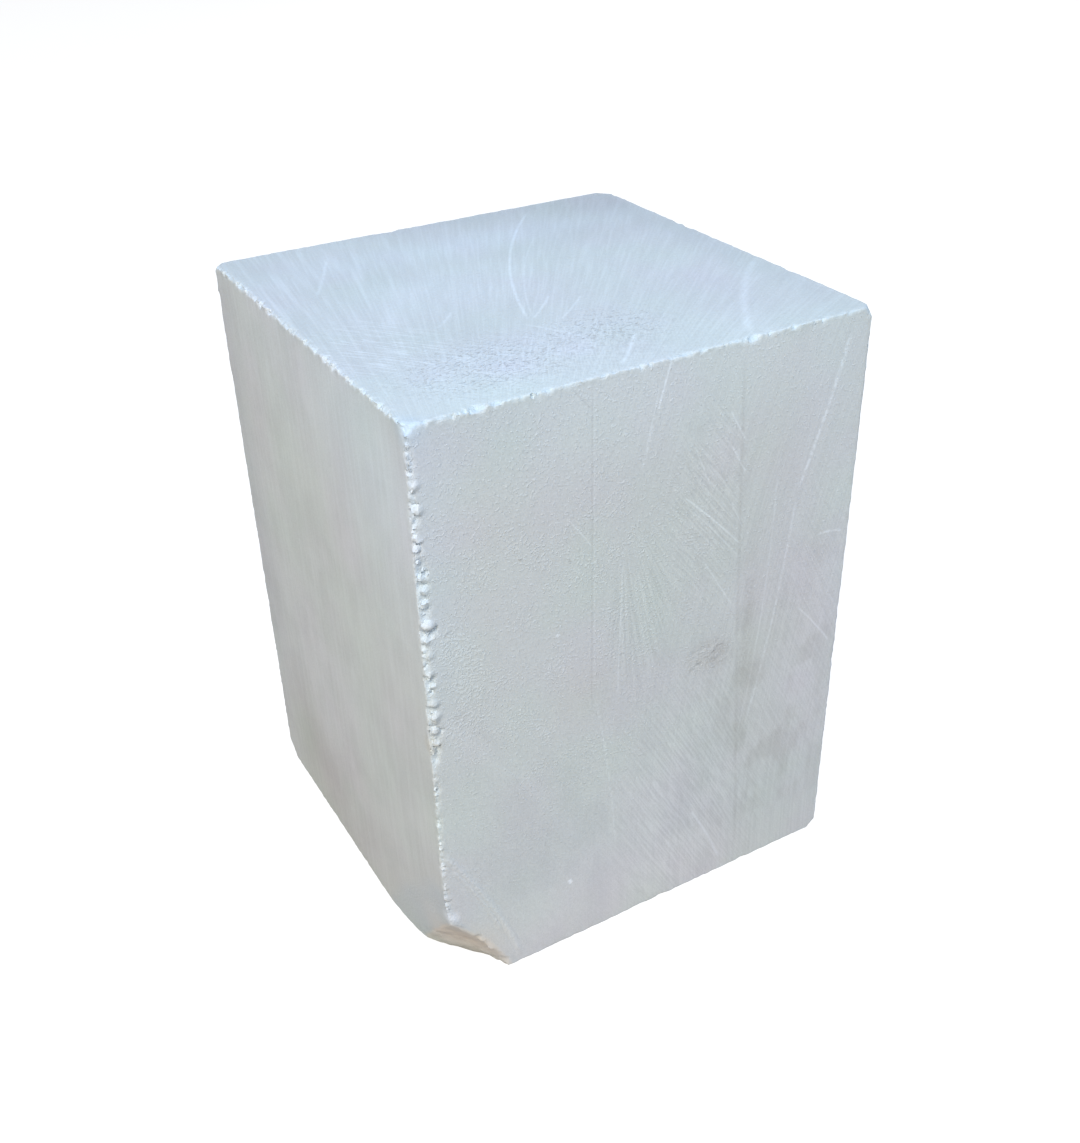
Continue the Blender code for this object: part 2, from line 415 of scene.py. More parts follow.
def stone(p):
    """Distance to the stone: dulled block, less bites, plus pellets, with crumbs where it broke."""
    whole = dulled_block(p)
    faces = np.sort(sawn_faces(p), axis=0)
    at_arris = np.exp(-((faces[1] / 1.1) ** 2))
    crumbs = rough_noise(p, CRUMB_SIZE, CRUMB_SEED, 2)
    broken, rounded = split_corner(p)
    rim = rough_noise(p, 1.7, 43, 2) * np.exp(-((whole / 0.5) ** 2))
    left = smooth_max(whole + 0.05 * crumbs * at_arris, rounded, BLEND["rounded"])
    left = smooth_max(left, knocked_corners(p), BLEND["knocked"])
    left = smooth_max(left, chipped_arrises(p), BLEND["chipped"])
    left = smooth_max(left, crumbled(p), BLEND["crumbled"])
    left = -smooth_max(-left, -pellets(p), BLEND["grains"])
    return smooth_max(left, broken + 0.55 * rim, BLEND["broken"])


# %% [markdown]
# The skin as a grid
#
# Each face is a grid over two of the block's three directions. The arrises need points much closer
# together than the middles of the faces, so a face has fine strips along its arrises, a coarser
# panel inside, and a ring of fans between them. Neighbours share the points on their arris.

# %% Cage: where the grid lines run
STRIP = 2.4
STRIP_ROWS = 8
CAGE = np.array([[-reach[0], -reach[1], 0.0], [reach[0], reach[1], 2 * reach[2]]])
# Grid lines along X, Y and Z on a hidden face, and how many times more a seen face has
LINES = (50, 50, 60)
FINER = {"front": 3, "left": 2, "top": 2, "back": 1, "right": 1, "base": 1}
SEEN_ARRIS = 6
CROWDING = 0.08


def lines(axis, count):
    """Places of the grid lines between the strips, a little closer towards the split corner."""
    t = np.linspace(0, 1, count + 1)
    t = t - CROWDING * np.sin(np.pi * t)
    return CAGE[0, axis] + STRIP + t * (CAGE[1, axis] - CAGE[0, axis] - 2 * STRIP)


def strip_rows(axis, side):
    """Places of the rows of a strip, closest beside the arris."""
    steps = STRIP * (np.arange(STRIP_ROWS + 1) / STRIP_ROWS) ** 1.2
    return CAGE[0, axis] + steps if side < 0 else CAGE[1, axis] - steps


def grid(us, vs):
    """Points where two sets of lines cross, and the quads between them."""
    points = np.stack(np.meshgrid(us, vs, indexing="ij"), axis=-1).reshape(-1, 2)
    index = np.arange(len(us) * len(vs)).reshape(len(us), len(vs))
    quads = np.stack([index[:-1, :-1], index[1:, :-1], index[1:, 1:], index[:-1, 1:]], axis=-1)
    return points, quads.reshape(-1, 4)


def fans(fine, fine_at, coarse, coarse_at):
    """Triangles between a finely cut line and a coarse one, whose outer points are its corners."""
    ratio = (len(fine) - 1) // (len(coarse) - 1)
    points = np.concatenate([
        np.stack([fine, np.full(len(fine), fine_at)], axis=1),
        np.stack([coarse[1:-1], np.full(len(coarse) - 2, coarse_at)], axis=1),
    ])
    step = np.arange(len(fine) - 1)
    nearest = step // ratio + (step % ratio >= (ratio + 1) // 2)
    nearest = np.clip(nearest, 1, len(coarse) - 2) - 1
    outer = np.stack([step, step + 1, len(fine) + nearest], axis=1)
    cell = np.arange(1, len(coarse) - 2)
    after = len(fine) + cell
    inner = np.stack([after - 1, after, cell * ratio + (ratio + 1) // 2], axis=1)
    return points, np.concatenate([outer, inner])


# %% The six faces of the cage
def arris_lines(face, other, axis):
    """Lines along the arris of two faces: many where both are seen, else as the finer panel has."""
    finer = FINER[face], FINER[other]
    return lines(axis, LINES[axis] * (SEEN_ARRIS if min(finer) > 1 else max(finer)))


def face_pieces(face):
    """All grids and fans of one face, as (points over its two directions, faces)."""
    axis, _ = AXES[face]
    u_axis, v_axis = SIDE_AXES[axis]
    u_lines = lines(u_axis, LINES[u_axis] * FINER[face])
    v_lines = lines(v_axis, LINES[v_axis] * FINER[face])
    made = [grid(u_lines[1:-1], v_lines[1:-1])]
    for u_side in (-1, 1):
        u_rows = strip_rows(u_axis, u_side)
        along = arris_lines(face, PAIRS[u_axis][u_side > 0], v_axis)
        made.append(grid(u_rows, along))
        points, tris = fans(along, u_rows[-1], v_lines, u_lines[1 if u_side < 0 else -2])
        made.append((points[:, ::-1], tris))
        made += [grid(u_rows, strip_rows(v_axis, v_side)) for v_side in (-1, 1)]
    for v_side in (-1, 1):
        v_rows = strip_rows(v_axis, v_side)
        along = arris_lines(face, PAIRS[v_axis][v_side > 0], u_axis)
        made.append(grid(along, v_rows))
        made.append(fans(along, v_rows[-1], u_lines, v_lines[1 if v_side < 0 else -2]))
    return made


# Where each face lies in the UV square, in mm, and its scale there
UV_SIDE = 186.0
UV_PLACES = {
    "front": (2, 2, 1.0),
    "left": (80, 2, 1.0),
    "top": (2, 106, 1.0),
    "back": (80, 106, 0.5),
    "right": (120, 106, 0.5),
    "base": (155, 2, 0.38),
}

points, sheet_points, polygons, codes = [], [], {3: [], 4: []}, {3: [], 4: []}
count = 0
for code, face in enumerate(AXES):
    axis, side = AXES[face]
    u_axis, v_axis = SIDE_AXES[axis]
    shift_u, shift_v, scale = UV_PLACES[face]
    for flat, cells in face_pieces(face):
        place = np.full((len(flat), 3), CAGE[int(side > 0), axis])
        place[:, [u_axis, v_axis]] = flat
        points.append(place)
        uv = (flat - CAGE[0, [u_axis, v_axis]]) * scale + (shift_u, shift_v)
        sheet_points.append(uv / UV_SIDE)
        polygons[cells.shape[1]].append(cells + count)
        codes[cells.shape[1]].append(np.full(len(cells), code))
        count += len(flat)
points, sheet_points = np.concatenate(points), np.concatenate(sheet_points)
polygons = {sides: np.concatenate(cells) for sides, cells in polygons.items()}
codes = np.concatenate([np.concatenate(codes[sides]) for sides in (4, 3)])
_, first, same = np.unique(np.round(points, 4), axis=0, return_index=True, return_inverse=True)
cage_points, same = points[first], same.reshape(-1)
print(len(cage_points), "points,", 2 * len(polygons[4]) + len(polygons[3]), "triangles")

# %% [markdown]
# Shrinking the cage onto the stone
#
# From a core well inside the block a ray runs through each point of the cage. Starting just
# outside, the point steps back along its ray by the distance to the stone until it touches. The
# rays never cross, so the skin stays closed and never folds over itself.

# %% Walk each point in along its ray
CORE_DEPTH = 12.0
START = 1.0
STEP = 0.8
TOUCH = 0.003
WALK_STEPS = 24

core = np.clip(cage_points, CAGE[0] + CORE_DEPTH, CAGE[1] - CORE_DEPTH)
ray = cage_points - core
far = np.linalg.norm(ray, axis=1)
ray /= far[:, None]
far += START
started = far.copy()
moving = np.arange(len(far))
for _ in range(WALK_STEPS):
    gap = stone(core[moving] + ray[moving] * far[moving, None])
    far[moving] -= STEP * gap
    moving = moving[np.abs(gap) > TOUCH]

# %% Settle the points that overshoot, by small steps inward and then by halving
INWARD_STEP, INWARD_STEPS, HALVINGS = 0.12, 90, 8
outside = started[moving]
inside = outside.copy()
stepping = np.arange(len(moving))
for _ in range(INWARD_STEPS):
    rows = moving[stepping]
    stepping = stepping[stone(core[rows] + ray[rows] * inside[stepping, None]) > 0]
    outside[stepping] = inside[stepping]
    inside[stepping] -= INWARD_STEP
for _ in range(HALVINGS):
    halfway = (outside + inside) / 2
    is_out = stone(core[moving] + ray[moving] * halfway[:, None]) > 0
    outside = np.where(is_out, halfway, outside)
    inside = np.where(is_out, inside, halfway)
far[moving] = inside
skin = core + ray * far[:, None]
# The block stands on its base, so no crumb reaches below it
skin[:, 2] = np.maximum(skin[:, 2], 0)
print("points settled by halving:", len(moving), "of which never inside:", len(stepping))
print("skin fills, mm:", skin.min(0).round(2), skin.max(0).round(2))

# %% Turn the faces outward and make the mesh
def outward_cells(cells):
    """Turns round the cells whose first three points run clockwise seen from outside."""
    a, b, c = (skin[same[cells[:, n]]] for n in range(3))
    inward = (np.cross(b - a, c - a) * ray[same[cells[:, 0]]]).sum(1) < 0
    cells = cells.copy()
    cells[inward] = cells[inward, ::-1]
    return cells


polygons = {sides: outward_cells(cells) for sides, cells in polygons.items()}
mesh = bpy.data.meshes.new("sawn_block")
mesh.from_pydata(skin * MM, [], same[polygons[4]].tolist() + same[polygons[3]].tolist())
block = bpy.data.objects.new("sawn_block", mesh)
bpy.context.collection.objects.link(block)

loops = np.concatenate([polygons[4].reshape(-1), polygons[3].reshape(-1)])
uv_map = mesh.uv_layers.new(name="OFBake")
uv_map.data.foreach_set("uv", sheet_points[loops].astype(np.float32).reshape(-1))
mesh.shade_smooth()
SHARP_FROM = 42
mesh.set_sharp_from_angle(angle=math.radians(SHARP_FROM))
mesh.validate()
print(len(mesh.vertices), "vertices,", len(mesh.polygons), "faces")


# %% Where the stone is fresh
def add_values(name, values, kind="FLOAT", field="value"):
    """Keeps one number or vector for each point of the skin as a named attribute."""
    made = mesh.attributes.new(name, kind, "POINT")
    made.data.foreach_set(field, values.astype(np.float32).reshape(-1))


depth_lost = -dulled_block(skin)
broken, _ = split_corner(skin)
add_values("fresh", smoothstep(0.02, 0.22, depth_lost))
add_values("broken", smoothstep(-0.5, -0.05, broken))
print("share of the skin that is fresh:", round(float((depth_lost > 0.1).mean()), 3))

# %% [markdown]
# Clouds in the stone
#
# Alabaster is nearly white, with faint clouds of lavender, green and brown that are centimetres
# across. They change so slowly that a colour kept at each point of the skin carries them: a few
# soft patches placed where the block has them, and a little noise for the rest. A few spots at the
# split corner also carry painted light in this colour: a warm glow in the break and one highlight.

# %% Tint of each point
# For each face: middle and half size in mm over its two directions, and the shift in 8-bit levels
FRONT_TINTS = (
    ((0, 103), (70, 24), (3, 6, 10)),
    ((-30, 102), (26, 16), (-6, -6, -3)),
    ((-38, 80), (11, 42), (-2, 2, 6)),
    ((-13, 51), (9, 10), (-1, -3, -4)),
    ((26, 42), (18, 34), (-1, -4, -4)),
    ((8, 22), (44, 30), (4, 3, 4)),
    ((0, 0), (70, 20), (5, 1, 2)),
    ((17, 13), (14, 14), (-4, -4, -4)),
    ((27, 66), (10, 44), (1, -1, 2)),
    ((34, 92), (14, 30), (3, 4, 6)),
    ((36, 30), (12, 60), (3, 2, 3)),
    ((-34, 16), (10, 16), (4, 3, 4)),
    ((16, 52), (8, 12), (3, 4, 4)),
    ((18.6, 46), (3.2, 26), (-6, -7, -8)),
    ((10.9, 48.8), (6.0, 4.5), (-9, -11, -13)),
    ((36, 58), (5, 40), (2, 2, 4)),
    ((-22, 8), (18, 14), (5, 5, 5)),
    ((2, 14), (30, 22), (3, 3, 3)),
    ((28, 38), (14, 12), (4, 4, 6)),
    ((-10, 74), (34, 40), (-2, -1, -1)),
)
LEFT_TINTS = (
    ((0, 50), (900, 900), (5, 5, 5)),
    ((-30, 95), (34, 46), (5, 8, 13)),
    ((0, 104), (60, 34), (3, 5, 9)),
    ((-35, 103), (16, 14), (-9, -9, -12)),
    ((0, 0), (60, 44), (-4, -7, -7)),
    ((38, 60), (16, 70), (-8, -10, -6)),
    ((-34, 100), (8, 22), (-3, -3, -3)),
    ((18, 12), (22, 24), (-7, -8, -10)),
    ((10, 24), (12, 16), (4, 4, 5)),
)
TOP_TINTS = (
    ((0, 0), (900, 900), (-8, -5, -3)),
    ((36, 34), (20, 16), (-8, -8, -7)),
    ((28, 30), (44, 36), (-14, -15, -14)),
    ((0, 23), (60, 9), (5, 6, 8)),
    ((0, 39), (60, 8), (-8, -8, -7)),
    ((0, -36), (60, 14), (2, 4, 3)),
    ((-26, -28), (22, 18), (3, 4, 5)),
    ((38, 0), (11, 50), (-9, -7, -7)),
    ((-10, -22), (26, 7), (3, 3, 5)),
    ((-18, -27), (7, 5), (2, 1, 4)),
    ((-7, -27), (6, 4), (4, 3, 6)),
    ((18, 20), (34, 26), (5, 6, 6)),
    ((-14, 6), (22, 16), (4, 5, 6)),
)
TINTS = {"front": FRONT_TINTS, "left": LEFT_TINTS, "top": TOP_TINTS}
# Spots of colour inside the broken stone: middle, size in mm and shift in levels. Besides the
# stone's own colour they hold painted light: a warm glow in the break and a white highlight.
SPOTS_AND_PAINTED_LIGHT = (
    # Warm painted glow and bounced light in the hollow of the break, over the stone's own colour
    ((-33, -33, 7), 9, (6, -1, -8)),
    ((-37.5, -36, 51.3), 2.6, (-6, -10, -16)),
    ((-38, -36.5, 101.5), 5, (-6, 0, 8)),
    # Painted highlight: a small ledge at the top of the break, made white where light from above
    # would catch it
    ((-37.4, -36.2, 16.0), 2.8, (36, 36, 40)),
    # Warm painted glow where light shines through the thin broken corner
    ((-37.5, -31, 11), 8, (9, 6, 4)),
)
# Mottles low on the front, brownish on its right: middle, half size, size of the lumps and shift
MOTTLES = (
    ((26, 34), (24, 50), 3.6, (-10, -11, -12)),
    ((-2, 18), (50, 32), 5.0, (-5, -5, -4)),
)
# What one level adds to the natural logarithm of the brightness
LEVEL = 0.0116
LAVENDER_CLOUD = np.array([0.5, -0.8, 0.5])


def soft_patch(p, centre, half):
    """1 in the middle of an ellipse, falling smoothly to 0 at its edge."""
    return smoothstep(1, 0, np.linalg.norm((p - centre) / half, axis=1))


def face_shares(p):
    """How much each point belongs to each face, fading over half a millimetre at an arris."""
    near = np.exp(-np.array([np.abs(face_distance(face, p)) for face in AXES]) / 0.5)
    return dict(zip(AXES, near / near.sum(0)))


shift = LAVENDER_CLOUD * rough_noise(skin, 12.0, 201)[:, None] * 1.6
shift += rough_noise(skin, 17.0, 211, 4)[:, None] * 1.6
for centre, size, levels in SPOTS_AND_PAINTED_LIGHT:
    shift += soft_patch(skin, centre, size)[:, None] * levels
for face, share in face_shares(skin).items():
    flat = skin[:, SIDE_AXES[AXES[face][0]]]
    for centre, half, levels in TINTS.get(face, ()):
        shift += (soft_patch(flat, centre, half) * share)[:, None] * levels
upright = skin * (1.0, 1.0, 0.6)
for centre, half, size, levels in MOTTLES:
    mottled = smoothstep(-0.1, 0.7, rough_noise(upright, size, 221))
    mottled = mottled * soft_patch(skin[:, [0, 2]], centre, half)
    shift += (mottled * face_shares(skin)["front"])[:, None] * levels
tint = np.exp(LEVEL * shift)
add_values("tint", tint, "FLOAT_VECTOR", "vector")
print("tint from", tint.min(0).round(2), "to", tint.max(0).round(2))

# %% [markdown]
# Marks on the stone
#
# The sawn faces carry the blade's marks. Each kind of mark is one node group that turns a place in
# millimetres into a mask, and the material gives it the real mark's place, direction and width.

# %% Helpers for wiring nodes
# The node tree that is being wired. Each group and material first puts its own here
tree = None


def wire(value, socket):
    """Links a socket's value, or writes a plain number or vector into it."""
    if isinstance(value, bpy.types.NodeSocket):
        tree.links.new(value, socket)
    else:
        socket.default_value = value


def add_node(kind, *values, **settings):
    """A shader node with its settings, and its inputs filled in order. None leaves one alone."""
    made = tree.nodes.new("ShaderNode" + kind)
    for name, setting in settings.items():
        setattr(made, name, setting)
    for value, socket in zip(values, made.inputs):
        if value is not None:
            wire(value, socket)
    return made


def maths(operation, *values):
    return add_node("Math", *values, operation=operation).outputs[0]


def product(*values):
    return reduce(partial(maths, "MULTIPLY"), values)


def total(*values):
    return reduce(partial(maths, "ADD"), values)


def vectors(operation, first, second=None):
    """Maths of one vector or two, or of a vector and a number for SCALE."""
    made = add_node("VectorMath", first, operation=operation)
    if second is not None:
        wire(second, made.inputs[3 if operation == "SCALE" else 1])
    return made.outputs["Value" if operation in ("DOT_PRODUCT", "LENGTH") else "Vector"]


def along(vector, direction):
    """How far a vector reaches in a direction."""
    return vectors("DOT_PRODUCT", vector, direction)


def join(x, y, z=0.0):
    return add_node("CombineXYZ", x, y, z).outputs[0]


def ramp(value, low, high, start=0.0, end=1.0):
    """A smooth change from start to end as the value goes from low to high."""
    made = add_node("MapRange", value, low, high, start, end, interpolation_type="SMOOTHSTEP")
    return made.outputs[0]


def noise_at(vector, scale=1.0, detail=1.0, roughness=0.5):
    return add_node("TexNoise", vector, None, scale, detail, roughness).outputs["Fac"]


def start_group(name, vector_inputs, number_inputs, result):
    """Starts a node group with named inputs and one number as its result: returns both sides."""
    global tree
    tree = bpy.data.node_groups.new(name, "ShaderNodeTree")
    for kind, inputs in (("Vector", vector_inputs), ("Float", number_inputs)):
        for input_name in inputs:
            tree.interface.new_socket(input_name, in_out="INPUT", socket_type="NodeSocket" + kind)
    tree.interface.new_socket(result, in_out="OUTPUT", socket_type="NodeSocketFloat")
    return tree.nodes.new("NodeGroupInput").outputs, tree.nodes.new("NodeGroupOutput").inputs[0]


def place_group(group, **values):
    """The group placed in the tree, its inputs given by name: returns its result."""
    made = add_node("Group", node_tree=group)
    for name, value in values.items():
        wire(value, made.inputs[name])
    return made.outputs[0]


# %% [markdown]
# One scratch
#
# A grain dragged by the saw leaves a thin line, often slightly bent and broken into dots. It could
# be a strip of geometry, but it is only a hair deep, so it is a distance to a bent line.

# %% Group: scratch
def make_scratch():
    """Mask 1 on a line from Start to End, bent sideways by Bend, fading over Width.

    h is how far along the line a place lies, q its distance to the side less 4 Bend h (1 - h),
    and past how far it lies past an end. The mask falls with the length of (q, past)."""
    vectors_in, numbers_in = ("Place", "Start", "End"), ("Bend", "Width", "Breaks", "Grain")
    given, out = start_group("scratch", vectors_in, numbers_in, "Mark")
    line = vectors("SUBTRACT", given["End"], given["Start"])
    offset = vectors("SUBTRACT", given["Place"], given["Start"])
    length = vectors("LENGTH", line)
    raw = maths("DIVIDE", along(offset, line), product(length, length))
    h = add_node("Clamp", raw).outputs[0]
    past = product(maths("SUBTRACT", raw, h), length)
    side = along(vectors("CROSS_PRODUCT", line, offset), (0, 0, 1))
    swell = product(h, maths("SUBTRACT", 1.0, h))
    bow = product(swell, 4.0, given["Bend"])
    q = maths("SUBTRACT", maths("DIVIDE", side, length), bow)
    distance = vectors("LENGTH", join(q, past))
    near = ramp(maths("DIVIDE", distance, given["Width"]), 1.0, 0.0)
    taper = ramp(swell, 0.0, 0.08)
    whole = maths("SUBTRACT", 1.0, product(given["Breaks"], given["Grain"]))
    wire(product(near, taper, whole), out)
    return tree


# %% Group: streaks round a point
def make_streaks():
    """Noise stretched round a centre: its place is (distance / Across, angle in degrees / Around).

    A small Across and a large Around give the arcs of a blade, the other way round a fan."""
    given, out = start_group(
        "streaks round a point", ("Place", "Centre"), ("Across", "Around", "Seed"), "Streaks"
    )
    offset = vectors("SUBTRACT", given["Place"], given["Centre"])
    angle = maths("ARCTAN2", along(offset, (0, 1, 0)), along(offset, (1, 0, 0)))
    spot = join(
        maths("DIVIDE", vectors("LENGTH", offset), given["Across"]),
        maths("DIVIDE", maths("DEGREES", angle), given["Around"]),
        given["Seed"],
    )
    wire(noise_at(spot), out)
    return tree


# %% Group: straight hatching
def make_hatching():
    """Noise stretched along one direction: the place turned by Angle, then over Along and Across."""
    given, out = start_group("hatching", ("Place",), ("Angle", "Along", "Across", "Seed"), "Hatching")
    turned = add_node("Mapping", vector_type="TEXTURE")
    radians = maths("RADIANS", given["Angle"])
    wire(given["Place"], turned.inputs["Vector"])
    wire(join(0.0, 0.0, radians), turned.inputs["Rotation"])
    wire(join(given["Along"], given["Across"], 1.0), turned.inputs["Scale"])
    wire(join(0.0, 0.0, given["Seed"]), turned.inputs["Location"])
    wire(noise_at(turned.outputs[0]), out)
    return tree


# %% Group: soft patch
def make_patch():
    """Mask 1 at Centre that falls to 0 at the edge of an upright ellipse with these half sizes."""
    given, out = start_group("soft patch", ("Place", "Centre", "Half"), (), "Patch")
    offset = vectors("SUBTRACT", given["Place"], given["Centre"])
    share = vectors("DIVIDE", offset, given["Half"])
    wire(ramp(vectors("LENGTH", share), 1.0, 0.25), out)
    return tree


SCRATCH, STREAKS, HATCHING, PATCH = make_scratch(), make_streaks(), make_hatching(), make_patch()
print("node groups:", [group.name for group in bpy.data.node_groups])

# %% [markdown]
# The materials
#
# The stone is one, but each seen face has its own drawing of saw marks, so there are three
# materials with the same colours: front, top and sides. They work in millimetres, and the marks
# fade where the stone is freshly broken.

# %% What every face's material starts with
def start_material(name):
    """Starts a material: its places in mm, dots that break up marks, and where it is fresh."""
    global tree
    material = bpy.data.materials.new(name)
    material.use_nodes = True
    tree = material.node_tree
    mesh.materials.append(material)
    place = vectors("SCALE", add_node("TexCoord").outputs["Object"], 1 / MM)
    dots = ramp(noise_at(place, 1.6), 0.42, 0.58)
    fresh = add_node("Attribute", attribute_name="fresh").outputs["Fac"]
    return place, dots, fresh


def sheet_of(first, second):
    """The sheet that a face's marks are drawn on: its two directions, 0 for X, 1 for Y, 2 for Z."""
    axes = np.eye(3)
    return join(along(place, axes[first]), along(place, axes[second]))


def scratches(listed):
    """The brightest of a list of scratches: start, end, bend, width, how broken up, how bright."""
    brightest = 0.0
    for start, end, bend, width, breaks, bright in listed:
        mark = place_group(
            SCRATCH, Place=sheet, Start=(*start, 0), End=(*end, 0), Bend=bend, Width=width,
            Breaks=breaks, Grain=dots,
        )
        brightest = maths("MAXIMUM", brightest, product(mark, bright))
    return brightest


def hatched(angle, long, wide, seed):
    return place_group(HATCHING, Place=sheet, Angle=angle, Along=long, Across=wide, Seed=seed)


def streaked(centre, wide, turn, seed):
    centre = (*centre, 0)
    return place_group(STREAKS, Place=sheet, Centre=centre, Across=wide, Around=turn, Seed=seed)


def swing(noise):
    """Noise turned into clear lines, pale ones near 1 and dark ones near -1."""
    return ramp(noise, 0.34, 0.66, -1.0, 1.0)


def patch(centre, half):
    return place_group(PATCH, Place=sheet, Centre=(*centre, 0), Half=(*half, 1))


# %% What every face's material ends with
ALABASTER = (0.64, 0.66, 0.66)
WHITE_MARK = (0.86, 0.9, 0.93, 1)
DARK_MARK = (0.45, 0.45, 0.44, 1)
FRESH_STONE = (0.6, 0.66, 0.7, 1)
# The break's colour: its own fresh stone, warmed by a painted glow of light through the thin corner
BROKEN_STONE_AND_GLOW = (0.76, 0.72, 0.66, 1)
# How much of its own colour a full mark or mask gets
COVER = {"pale": 0.75, "dark": 0.55, "fresh": 0.7, "broken": 0.7}
# Grain of the stone: noise per mm, its detail, and the share that it adds
GRAINS = ((4.2, 0.0, 0.14), (1.3, 1.0, 0.05))
CRUMB_RELIEF = 0.12
SMOOTHER_BREAK = -0.6


def mixed(share, first, second):
    """A colour between two, by a share from 0 to 1."""
    made = add_node("Mix", data_type="RGBA")
    for value, socket in ((share, made.inputs[0]), (first, made.inputs[6]), (second, made.inputs[7])):
        wire(value, socket)
    return made.outputs[2]


def finish_material(pale, dark, shade, relief, roughness_mm):
    """Colour, relief in mm and gloss of the stone. The marks, and the shade that the finest lines add
    as a share of the colour, only show where the stone is still sawn. The tint is over everything."""
    sawn = maths("SUBTRACT", 1.0, fresh)
    grain = product(shade, sawn)
    for scale, detail, share in GRAINS:
        grain = total(grain, product(maths("SUBTRACT", noise_at(place, scale, detail), 0.5), share))
    tint = add_node("Attribute", attribute_name="tint").outputs["Vector"]
    broken = add_node("Attribute", attribute_name="broken").outputs["Fac"]
    colour = vectors("SCALE", ALABASTER, maths("ADD", grain, 1.0))
    colour = mixed(product(pale, sawn, COVER["pale"]), colour, WHITE_MARK)
    colour = mixed(product(dark, sawn, COVER["dark"]), colour, DARK_MARK)
    colour = mixed(product(fresh, COVER["fresh"]), colour, FRESH_STONE)
    colour = mixed(product(broken, COVER["broken"]), colour, BROKEN_STONE_AND_GLOW)
    colour = vectors("MULTIPLY", colour, tint)
    crumbly = noise_at(place, 2.1, 1.0, 0.7)
    crumbs = product(total(fresh, product(broken, SMOOTHER_BREAK)), CRUMB_RELIEF)
    height = total(product(relief, sawn), product(crumbly, total(crumbs, roughness_mm)))
    bump = add_node("Bump", 1.0, MM)
    wire(height, bump.inputs["Height"])
    shader = tree.nodes["Principled BSDF"].inputs
    wire(bump.outputs["Normal"], shader["Normal"])
    wire(colour, shader["Base Color"])
    wire(0.56, shader["Roughness"])
    wire(1.52, shader["IOR"])
    print("nodes:", len(tree.nodes))


# %% Front face: pale scratches
FRONT_PALE = (
    ((1.9, 101.4), (-0.2, 94.3), 0, 0.32, 0.4, 1),
    ((0, 98), (-2, 89.1), 0.1, 0.25, 0.5, 0.5),
    ((-0.6, 93.8), (-2.6, 86), 0.1, 0.35, 1, 0.5),
    ((-10.4, 101.5), (-10.45, 50.5), 0, 0.22, 0.7, 0.25),
    ((-10.5, 50.5), (-6.4, 17.5), 0.5, 0.35, 0.8, 0.35),
    ((-5.6, 72), (-6.3, 48), 0, 0.28, 0.5, 0.5),
    ((33.9, 98.5), (26.2, 74), 0.4, 0.55, 0.7, 0.9),
    ((26.2, 74), (19.1, 30.7), 0.9, 0.45, 0.6, 0.6),
    ((22, 80), (16.6, 24), 1.6, 0.3, 0.5, 0.4),
    ((12.4, 91.2), (15.5, 85.8), 0, 0.25, 0.3, 0.6),
    ((13, 85.5), (15.9, 80.3), 0, 0.25, 0.3, 0.7),
    ((6.5, 86.9), (9.5, 79.9), 0, 0.22, 0.4, 0.5),
    ((4.9, 79.3), (15.9, 67.9), 0.2, 0.25, 0.3, 0.9),
    ((6, 77), (15.8, 65.6), 0.2, 0.2, 0.4, 0.5),
    ((13.4, 76.3), (16, 70.9), 0, 0.2, 0.4, 0.5),
    ((8.7, 67.6), (15.1, 56.9), 0, 0.22, 0.4, 0.6),
    ((-15, 82), (-10.8, 76), 0.1, 0.22, 0.3, 0.6),
    ((28.6, 52), (36.4, 42.4), 0.2, 0.3, 0.3, 0.7),
    ((31.4, 64.9), (36.4, 64.1), 0.2, 0.4, 0.5, 0.7),
    ((9, 17), (15.6, 3), 0.3, 0.45, 0.4, 0.6),
    ((-37, 55), (-13, 20), 2, 2.6, 0.5, 0.14),
    ((-15.4, 13.6), (-15, 12.6), 0, 0.6, 0, 1.3),
    ((-16.9, 63.2), (-16.5, 62.8), 0, 0.4, 0, 1.3),
)
FRONT_DARK = (
    ((-10.75, 101.5), (-10.95, 46), 0, 0.25, 0.5, 0.6),
    ((-14, 101), (-10.9, 97.3), 0, 0.22, 0.2, 0.6),
    ((14.3, 102), (19.4, 2.6), -0.5, 0.6, 0.5, 0.55),
    ((-34.6, 69.5), (-33.2, 70), 0, 0.25, 0, 0.9),
    ((-22.7, 77.9), (-22.1, 77.5), 0, 0.3, 0, 1.2),
    ((-14.7, 75), (-14.3, 74.6), 0, 0.25, 0, 1.2),
    ((-34.5, 57), (-23, 33), 1.6, 1.6, 0.5, 0.16),
    ((18.2, 62), (17.6, 42), 0.2, 1.6, 0.8, 0.5),
)
place, dots, fresh = start_material("alabaster front")
sheet = sheet_of(0, 2)
front_pale, front_dark = scratches(FRONT_PALE), scratches(FRONT_DARK)

# %% Front face: the blade's finer lines
# Places and sizes here are in mm, angles in degrees, and the last number of a noise is its seed
BLADE_CENTRE = (268, 10)
arcs = product(
    swing(streaked(BLADE_CENTRE, 0.4, 7, 2)),
    ramp(along(place, (1, 0, 0)), -20, 18, 0.3, 1),
)
low_hatch = product(
    swing(hatched(-61, 6, 0.36, 3)),
    total(patch((9, 22), (22, 38)), product(patch((31, 44), (12, 44)), 0.5), 0.2),
)
fan = product(swing(streaked((-6.5, 84), 14, 1.3, 5)), patch((-2, 62), (9, 20)))
upper_hatch = product(swing(hatched(-52, 5, 0.36, 7)), patch((9, 76), (11, 24)))
front_shade = total(
    product(arcs, 0.026), product(low_hatch, 0.052), product(fan, 0.06), product(upper_hatch, 0.06),
)

